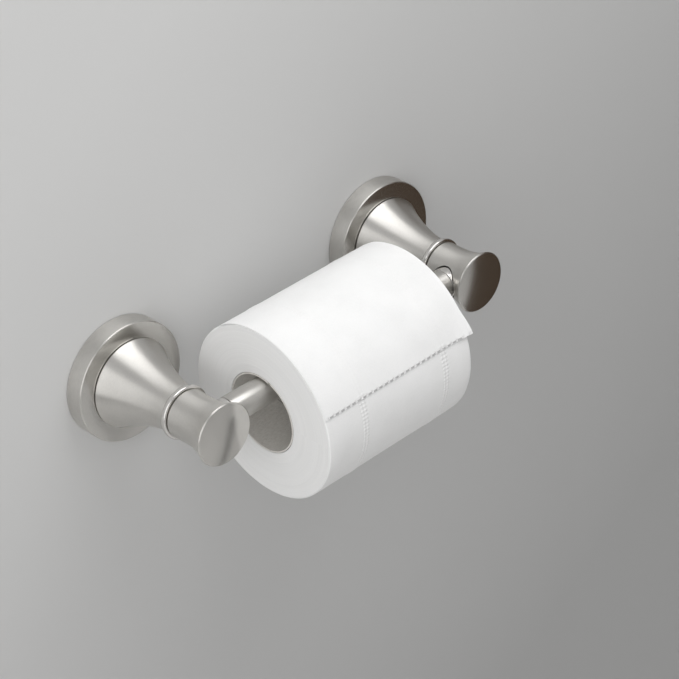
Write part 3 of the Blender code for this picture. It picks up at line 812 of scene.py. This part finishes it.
def make_bracket(side, x):
    low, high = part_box("wall_bracket_" + side)
    half_x, half_y, tab_reach = (high.x - low.x) / 2, high.z, -low.y
    at = (x, 0, 0)
    outline = rounded_rectangle(half_x, half_y, 4 * MM)
    bracket = prism("bracket_plate_" + side, outline, 0, BRACKET_THICKNESS, OUT_OF_WALL, at)
    tabs = []
    for sign in (1, -1):
        near, far = sorted((sign * half_y, sign * (half_y - BRACKET_THICKNESS)))
        corners = rectangle(-BRACKET_TAB, BRACKET_TAB, near, far)
        tabs.append(prism("tab", corners, BRACKET_THICKNESS / 2, tab_reach, OUT_OF_WALL, at))
    combine(bracket, tabs, "UNION")
    through = (-GAP, BRACKET_THICKNESS + GAP)
    holes = [turned("bore", rod(BRACKET_BORE, *through), OUT_OF_WALL, at, 64)]
    for offset in (-SCREW_OFFSET, SCREW_OFFSET):
        hole_outline = rod(SCREW_RADIUS + GAP, *through)
        holes.append(turned("hole", hole_outline, OUT_OF_WALL, (x + offset, 0, 0), SMALL))
    combine(bracket, holes)
    soften(bracket, 0.25 * MM)
    finish_piece(bracket, zinc, "posts", "zinc_steel", "wall_bracket_" + side)


def make_wall_screw(label):
    low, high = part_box("wall_screw_" + label)
    at = ((low.x + high.x) / 2, 0, (low.z + high.z) / 2)
    tip, top = -high.y, -low.y
    under_head = BRACKET_THICKNESS + GAP
    screw = threaded(
        "screw_thread_" + label, SCREW_RADIUS, SCREW_THREAD_DEPTH, SCREW_PITCH, tip, under_head + 0.2 * MM,
        OUT_OF_WALL, at, SCREW_POINT,
    )
    radius = (high.x - low.x) / 2
    head_outline = [
        (0, under_head), (radius, under_head, 0.2 * MM), (radius, under_head + 0.9 * MM, 0.6 * MM),
        (radius * 0.7, top, 0.8 * MM), (0, top),
    ]
    head = turned("head", head_outline, OUT_OF_WALL, at, 48, 6)
    reach, half = SCREW_RADIUS, SCREW_RADIUS * 0.22
    cross = [
        (reach, -half), (reach, half), (half, half), (half, reach), (-half, reach), (-half, half),
        (-reach, half), (-reach, -half), (-half, -half), (-half, -reach), (half, -reach), (half, -half),
    ]
    combine(head, [prism("cross", cross, top - 1.2 * MM, top + GAP, OUT_OF_WALL, at)])
    merge(screw, [head])
    smooth(screw, 50)
    finish_piece(screw, zinc, "posts", "zinc_steel", "wall_screw_" + label)


def make_anchor(label):
    """Ribbed wall plug, slit from its tip."""
    low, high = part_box("wall_anchor_" + label)
    at = ((low.x + high.x) / 2, 0, (low.z + high.z) / 2)
    length, bore = high.y, SCREW_RADIUS + GAP
    outline = [(bore, -GAP), (bore, -length, 0.2 * MM), (ANCHOR_RADIUS - 0.7 * MM, -length, 0.4 * MM)]
    first, last = -length + 1.2 * MM, -ANCHOR_PLAIN
    pitch = (last - first) / ANCHOR_RIBS
    valley, crest = ANCHOR_RADIUS - 0.15 * MM, ANCHOR_RADIUS + 0.35 * MM
    for rib in range(ANCHOR_RIBS):
        start = first + rib * pitch
        outline += [(valley, start), (crest, start + pitch * 0.72, 0.1 * MM), (valley, start + pitch * 0.80)]
    outline += [(ANCHOR_RADIUS, last + 0.5 * MM), (ANCHOR_RADIUS, -GAP, 0.2 * MM)]
    anchor = turned("anchor_plug_" + label, outline, OUT_OF_WALL, at, 48, 3)
    slit_outline = rectangle(-5 * MM, 5 * MM, -SLIT_HALF, SLIT_HALF)
    slit = prism("slit", slit_outline, -length - 1 * MM, -SLIT_END, OUT_OF_WALL, at)
    combine(anchor, [slit])
    smooth(anchor)
    finish_piece(anchor, grey_nylon, "posts", "grey_nylon", "wall_anchor_" + label)


# -------- roller

def on_axis(node):
    """Ends, outer radius and place of a round node on the roller's axis."""
    low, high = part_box(node)
    return low.x, high.x, (high.z - low.z) / 2, (0, (low.y + high.y) / 2, 0)


def make_tube(name, node, body):
    start, end, outer, at = on_axis(node)
    tube = turned(name, sleeve(outer - TUBE_WALL, outer, start, end, 0.2 * MM), ALONG_X, at)
    finish_piece(tube, satin, body, "satin_nickel", node)


def make_end_plug(name, node, sign, body):
    """Bright closed end of the roller: spigot, disc with a shallow groove behind it, and the pin."""
    start, end, outer, at = on_axis(node)
    tip = max(abs(start), abs(end))
    face = tip - PIN_LENGTH
    disc = face - END_DISC
    spigot = outer - TUBE_WALL - GAP
    outline = [
        (0, disc - SPIGOT), (spigot, disc - SPIGOT, 0.5 * MM), (spigot, disc), (outer - 0.25 * MM, disc),
        (outer, disc + 0.25 * MM, 0.1 * MM), (outer, face, 0.5 * MM), (PIN_RADIUS + 1.4 * MM, face, 0.2 * MM),
        (PIN_RADIUS + 1.0 * MM, face - 0.3 * MM, 0.1 * MM), (PIN_RADIUS, face - 0.3 * MM, 0.2 * MM),
        (PIN_RADIUS, tip, 0.5 * MM), (0, tip),
    ]
    outline = [(corner[0], sign * corner[1], *corner[2:]) for corner in outline]
    plug = turned(name, outline, ALONG_X, at, 96)
    finish_piece(plug, bright, body, "polished_nickel", node)


def make_guide():
    start, end, outer, at = on_axis("plunger_guide")
    collar, neck, floor = end - 3.0 * MM, outer - 0.9 * MM, end - 0.6 * MM
    outline = [
        (0, start), (neck, start, 0.5 * MM), (neck, collar), (outer, collar, 0.2 * MM),
        (outer, end, 0.4 * MM), (3.4 * MM, end, 0.3 * MM), (3.0 * MM, floor, 0.2 * MM), (0, floor),
    ]
    guide = turned("guide_collar", outline, ALONG_X, at, 64)
    finish_piece(guide, white_nylon, "plunger", "white_nylon", "plunger_guide")


def make_spring():
    """Round-wire coil with a closed turn at each end."""
    low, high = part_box("roller_spring")
    start, end = low.x + SPRING_WIRE, high.x - SPRING_WIRE
    per_turn, sides = 40, 12
    flat = 2 * SPRING_WIRE + GAP
    rows = (SPRING_TURNS + 2) * per_turn
    vertices = []
    for i in range(rows + 1):
        turn = i / per_turn
        share = min(max((turn - 1) / SPRING_TURNS, 0), 1)
        along = start + flat + (end - start - 2 * flat) * share
        along += flat * (max(turn - SPRING_TURNS - 1, 0) - max(1 - turn, 0))
        angle = math.tau * turn
        for k in range(sides):
            around = math.tau * k / sides
            x = along + SPRING_WIRE * math.sin(around)
            r = SPRING_RADIUS + SPRING_WIRE * math.cos(around)
            vertices.append((x, r * math.cos(angle), r * math.sin(angle)))
    coil = mesh_object("spring_coil", vertices, hose_faces(rows, sides))
    smooth(coil, 50)
    coil.location = (0, (low.y + high.y) / 2, 0)
    finish_piece(coil, spring_steel, "roller", "spring_steel", "roller_spring")
    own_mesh(coil)


# -------- roll

def straighten(obj):
    """Bake the object's rotation into its mesh, so that local X runs along the roll."""
    world = obj.matrix_world.copy()
    obj.data.transform(world.to_3x3().to_4x4())
    obj.matrix_world = Matrix.Translation(world.translation)


def grain(x, y, z, size):
    return noise.noise(Vector((x / size, y / size, z / size)))


def swell(x, y, z, size):
    return 0.5 + 0.5 * grain(x, y, z, size)


def clamp(value):
    return min(max(0.0, value), 1.0)


def fade(distance, reach):
    return max(0.0, 1 - distance / reach)


def ease(share):
    return share * share * (3 - 2 * share)


def make_core():
    low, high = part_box("roll_core")
    outer = (high.z - low.z) / 2
    half = (high.x - low.x) / 2
    inner = outer - 0.8 * MM
    outline = [(inner, -half, 0.15 * MM), (outer, -half, 0.15 * MM)]
    outline += [(outer, half, 0.15 * MM), (inner, half, 0.15 * MM)]
    core = turned("core_tube", outline, ALONG_X, ROLL_CENTRE, 160)
    straighten(core)
    for vertex in core.data.vertices:
        x, y, z = vertex.co
        if abs(abs(x) - half) < 0.3 * MM:
            inwards = 0.18 * MM * swell(x, y, z, 3.5 * MM)
            vertex.co.x = x - math.copysign(inwards, x)
    finish_piece(core, board, "roll", "core_board", "roll_core")


def emboss(x, angle):
    """Height of the pressed dots at a place along and round the roll."""
    from_band = min(abs(x - middle) for middle in BANDS)
    around = angle * ROLL_RADIUS
    first = math.sin((x + around) * math.pi / DOT_PITCH)
    second = math.sin((x - around) * math.pi / DOT_PITCH)
    near = clamp((BAND_HALF - from_band) / (BAND_HALF * 0.14))
    forward = (angle + math.pi / 2) % math.tau - math.pi
    covered = min(forward - math.radians(SHEET_START), math.radians(SHEET_END) - forward)
    left = 1 + (FLAT_SHARE - 1) * clamp(covered * ROLL_RADIUS / FLAT_FADE)
    return DOT_HEIGHT * near * left * max(0.0, first * second)


def make_paper():
    """Wound roll: soft edges, a slightly uneven surface and wavy layered ends."""
    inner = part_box("roll_core")[1].z - ROLL_CENTRE.z + GAP
    edge = 1.3 * MM
    rings = 40
    outline = [(inner, -ROLL_HALF + 0.2 * MM)]
    for i in range(1, rings + 1):
        outline.append((inner + (ROLL_RADIUS - edge - inner) * i / rings, -ROLL_HALF))
    for i in range(1, 7):
        angle = math.pi / 2 * i / 6
        rise = edge * (1 - math.cos(angle))
        outline.append((ROLL_RADIUS - edge + edge * math.sin(angle), -ROLL_HALF + rise))
    columns = 40
    coarse = [-ROLL_HALF + edge + (ROLL_HALF - edge) * 2 * i / columns for i in range(1, columns)]
    lines = [x for x in coarse if min(abs(x - middle) for middle in BANDS) > BAND_HALF * 1.1]
    lines += [middle + BAND_HALF * i / 8 for middle in BANDS for i in range(-8, 9)]
    outline += [(ROLL_RADIUS, x) for x in sorted(lines)]
    outline += [(radius, -height) for radius, height in reversed(outline[: rings + 7])]
    for i in range(1, 6):
        outline.append((inner, (ROLL_HALF - 0.2 * MM) * (1 - 2 * i / 6)))
    roll = turned("paper_wound", outline, ALONG_X, ROLL_CENTRE, ROLL_SIDES)
    straighten(roll)
    ridges = [0.5 + 0.5 * noise.noise(Vector((k * 0.83, 4.2, 1.7))) for k in range(RIDGES)]
    for vertex in roll.data.vertices:
        x, y, z = vertex.co
        r = math.hypot(y, z)
        if r < inner + 0.1 * MM:
            continue
        from_end = ROLL_HALF - abs(x)
        near_side = fade(ROLL_RADIUS - r, 2.0 * MM)
        layer = ridges[int((r - inner) / RIDGE_PITCH) % RIDGES]
        sink = fade(from_end, 1.5 * MM) * (0.10 * MM * layer + 0.16 * MM * swell(x, y, z, 16 * MM))
        dent = 0.14 * swell(x, y, z, 22 * MM) + 0.05 * swell(x, y, z, 6 * MM)
        dent = near_side * (dent + 0.30 * fade(from_end, 7 * MM) * swell(3 * x, y, z, 9 * MM)) * MM
        dent -= near_side * emboss(x, math.atan2(z, y))
        vertex.co = (x - math.copysign(sink, x), y * (1 - dent / r), z * (1 - dent / r))
    roll.data.materials.append(paper_side)
    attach(roll, "roll")
    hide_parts("paper_roll")
    roll.data.materials.append(paper_end)
    for polygon in roll.data.polygons:
        polygon.use_smooth = True
        polygon.material_index = 1 if abs(polygon.normal.x) > 0.75 else 0
    return roll


def make_sheet(roll):
    """Last sheet, laid over the top: it starts flush, and its perforated edge stands off the roll."""
    across, along = 300, 160
    low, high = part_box("sheet_end")
    half = (high.x - low.x) / 2
    start, end = math.radians(SHEET_START), math.radians(SHEET_END)
    rings = []
    for layer in (0, 1):
        for j in range(along + 1):
            share = j / along
            for i in range(across + 1):
                x = -half + 2 * half * i / across
                spot = (x / PERFORATION + 0.25) % 1.0
                tab = ease(clamp(1.6 - abs(spot - 0.5) / 0.15))
                last = end + (0.12 * MM * grain(x, 0.7, 0, 14 * MM) + tab * 0.5 * MM) / ROLL_RADIUS
                angle = start + (last - start) * share
                from_edge = (1 - share) * (end - start) * ROLL_RADIUS
                free = fade(from_edge, 7 * MM) ** 2
                corner = ease(fade(half - x, 11 * MM) * fade(from_edge, 15 * MM))
                flush = ease(min(share / 0.12, 1.0))
                thick = (0.05 + 0.17 * flush) * MM
                wave = swell(x, angle * 0.03, 2.0, 9 * MM)
                lift = (0.03 + 0.22 * flush) * MM + free * (0.15 + 0.25 * wave) * MM
                held = tab * clamp(1.5 - from_edge / (1.0 * MM))
                lift += (0.02 * MM - lift) * held + corner * 1.5 * MM
                thick += (0.04 * MM - thick) * held
                side = fade(half - abs(x), 2.0 * MM) ** 2
                lift += side * 0.22 * MM * flush
                out = corner * 1.3 * MM + side * 0.15 * MM * math.copysign(1, x) * flush
                r = ROLL_RADIUS + lift + thick * layer + emboss(x, angle + math.pi / 2)
                rings.append((x + out, -r * math.sin(angle), r * math.cos(angle)))
    row = across + 1
    sheet_size = row * (along + 1)
    faces = []
    for j in range(along):
        for i in range(across):
            a, b = j * row + i, (j + 1) * row + i
            faces.append([a, a + 1, b + 1, b])
            faces.append([sheet_size + a, sheet_size + b, sheet_size + b + 1, sheet_size + a + 1])
    for i in range(across):
        top, bottom = i, along * row + i
        faces.append([top, sheet_size + top, sheet_size + top + 1, top + 1])
        faces.append([bottom, bottom + 1, sheet_size + bottom + 1, sheet_size + bottom])
    for j in range(along):
        near, far = j * row, j * row + across
        faces.append([near, near + row, sheet_size + near + row, sheet_size + near])
        faces.append([far, sheet_size + far, sheet_size + far + row, far + row])
    sheet = mesh_object("loose_sheet", rings, faces)
    smooth(sheet, 50)
    sheet.location = ROLL_CENTRE
    finish_piece(sheet, paper_sheet, "roll", "tissue", "sheet_end")


# -------- assembly

for side in ("left", "right"):
    flange_low, flange_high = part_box("flange_" + side)
    post_x = (flange_low.x + flange_high.x) / 2
    bead_low, bead_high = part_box("neck_bead_" + side)
    head_low, head_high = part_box("post_head_" + side)
    tube_low, tube_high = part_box("roller_plunger" if side == "left" else "roller_barrel")
    make_flange(side, post_x, (flange_high.x - flange_low.x) / 2)
    make_cone(side, post_x, -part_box("post_cone_" + side)[0].y)
    make_neck(side, post_x, -bead_high.y, -bead_low.y)
    make_head(side, post_x, head_high.y, (tube_low.y + tube_high.y) / 2, (tube_high.z - tube_low.z) / 2)
    make_tie(side, post_x)
    make_bracket(side, post_x)
    for where in ("inner_", "outer_"):
        make_wall_screw(where + side)
        make_anchor(where + side)
make_tube("tube_thick", "roller_barrel", "roller")
make_tube("tube_thin", "roller_plunger", "plunger")
make_end_plug("end_plug_thick", "barrel_end_plug", 1, "roller")
make_end_plug("end_plug_thin", "plunger_end_plug", -1, "plunger")
make_guide()
make_spring()
make_core()
make_sheet(make_paper())


# -------- studio

FLOOR_Z = -1.0
WALL_Y = 0.3 * MM
# Cards out of shot: name, both ends seen from above, heights, colour and roughness
CARDS = (
    ("panel", (0.26, 0), (0.26, -0.30), (-1, 0.12), (0.085, 0.06, 0.042), 0.7),
    ("strip", (0.055, -0.249), (0.065, -0.241), (-0.5, -0.12), (0.03, 0.03, 0.028), 0.8),
)
WORLD_STOPS = (
    (0.0, (0.20, 0.19, 0.18)), (0.45, (0.42, 0.41, 0.40)),
    (0.62, (0.62, 0.62, 0.62)), (1.0, (0.95, 0.95, 0.96)),
)
WORLD_STRENGTH = 0.64
# The photograph's view: azimuth, elevation and roll in degrees, then the place and the lens
VIEW_ANGLES = (-42.59, 33.08, -3.81)
CAMERA_AT = (-0.6598, -0.7839, 0.6391)
SENSOR_WIDTH = 36.0
LENS = 123.94


def plane(name, corners, colour, roughness):
    obj = mesh_object(name, corners, [list(range(len(corners)))])
    s = Shader(name, Roughness=roughness, Specular_IOR_Level=0.2)
    cloud = s.noise(s.coordinates(), 1.6, 3.0, 0.5)
    s.link("Base Color", s.mix(cloud, shaded(colour, 0.95), colour))
    obj.data.materials.append(s.material)
    return obj, s


def make_stage():
    floor_corners = [(x, y, FLOOR_Z) for x, y in rectangle(-6, 6, -6, 6)]
    plane("floor", floor_corners, (0.80, 0.795, 0.785), 0.8)
    wall_corners = [(x, WALL_Y, z) for x, z in rectangle(-2.5, 2.5, FLOOR_Z, 1.6)]
    s = plane("wall", wall_corners, (0.66, 0.66, 0.655), 0.75)[1]
    x, y, z = s.axes(s.coordinates())
    # Painted shade: the wall's colour darkens slowly towards the lower right, where the daylight falls off
    away = s.minus(z, s.times(x, 0.6))
    shade = s.span(away, 0.70, 1.08, -0.5, 0.2)
    lit = s.surface.inputs["Base Color"].links[0].from_socket
    s.link("Base Color", s.mix(1.0, lit, s.join(shade, shade, shade), "MULTIPLY"))
    # The wall is cut away from behind and has an opening behind each flange, so that the fixings can be
    # seen from there in daylight
    cut = s.add("NewGeometry").outputs["Backfacing"]
    for side in ("left", "right"):
        low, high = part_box("flange_" + side)
        across = s.minus(x, (low.x + high.x) / 2)
        squared = s.plus(s.times(across, across), s.times(z, z))
        opening = s.math("LESS_THAN", squared, (high.z - FLANGE_WALL) ** 2)
        cut = s.math("MAXIMUM", cut, opening)
    clear = s.add("BsdfTransparent").outputs[0]
    cutaway = s.add("MixShader", {0: cut, 1: s.surface.outputs[0], 2: clear})
    s.tree.links.new(cutaway.outputs[0], s.tree.nodes["Material Output"].inputs["Surface"])


def make_cards():
    """Dark cards out of shot, which give the polished faces something to mirror."""
    for name, near, far, (low, high), colour, roughness in CARDS:
        corners = [(*near, low), (*far, low), (*far, high), (*near, high)]
        card = plane(name, corners, colour, roughness)[0]
        card.visible_camera = False
        card.visible_diffuse = False
        card.visible_shadow = False


def area_light(name, at, towards, size, power):
    light = bpy.data.lights.new(name, "AREA")
    light.shape = "RECTANGLE"
    light.size, light.size_y = size
    light.energy = power
    obj = new_object(name, light)
    obj.location = at
    obj.rotation_mode = "QUATERNION"
    obj.rotation_quaternion = (Vector(towards) - Vector(at)).to_track_quat("-Z", "Y")
    return obj


def make_world():
    world = bpy.data.worlds.new("studio")
    bpy.context.scene.world = world
    world.use_nodes = True
    tree = world.node_tree
    background = tree.nodes["Background"]
    coordinates = tree.nodes.new("ShaderNodeTexCoord")
    split = tree.nodes.new("ShaderNodeSeparateXYZ")
    tree.links.new(coordinates.outputs["Generated"], split.inputs[0])
    height = tree.nodes.new("ShaderNodeMapRange")
    height.inputs[1].default_value = -1.0
    tree.links.new(split.outputs[2], height.inputs[0])
    ramp = tree.nodes.new("ShaderNodeValToRGB")
    set_stops(ramp, WORLD_STOPS)
    tree.links.new(height.outputs[0], ramp.inputs[0])
    tree.links.new(ramp.outputs[0], background.inputs[0])
    background.inputs[1].default_value = WORLD_STRENGTH


def make_camera():
    azimuth, elevation, roll = (math.radians(angle) for angle in VIEW_ANGLES)
    flat = math.cos(elevation)
    forward = Vector((-math.sin(azimuth) * flat, math.cos(azimuth) * flat, -math.sin(elevation)))
    level = Vector((math.cos(azimuth), math.sin(azimuth), 0))
    upright = level.cross(forward)
    right = math.cos(roll) * level + math.sin(roll) * upright
    up = -math.sin(roll) * level + math.cos(roll) * upright
    camera = bpy.data.cameras.new("camera")
    camera.sensor_width = SENSOR_WIDTH
    camera.lens = LENS
    camera.clip_start = 0.01
    turn = Matrix((right, up, -forward)).transposed()
    bpy.context.scene.camera = place(new_object("camera", camera), turn, CAMERA_AT)


make_stage()
make_cards()
make_world()
area_light("top", (0.22, -0.32, 0.90), (0.10, -0.05, 0), (0.9, 0.6), 4.1)
area_light("left", (-1.7, -0.9, 0.55), (0, -0.05, 0), (2.2, 2.2), 14.5)
area_light("fill", (-0.95, -0.40, 0.60), (-0.10, -0.03, 0), (0.8, 0.8), 2.6).visible_glossy = False
make_camera()
bpy.context.scene.view_settings.view_transform = "Standard"
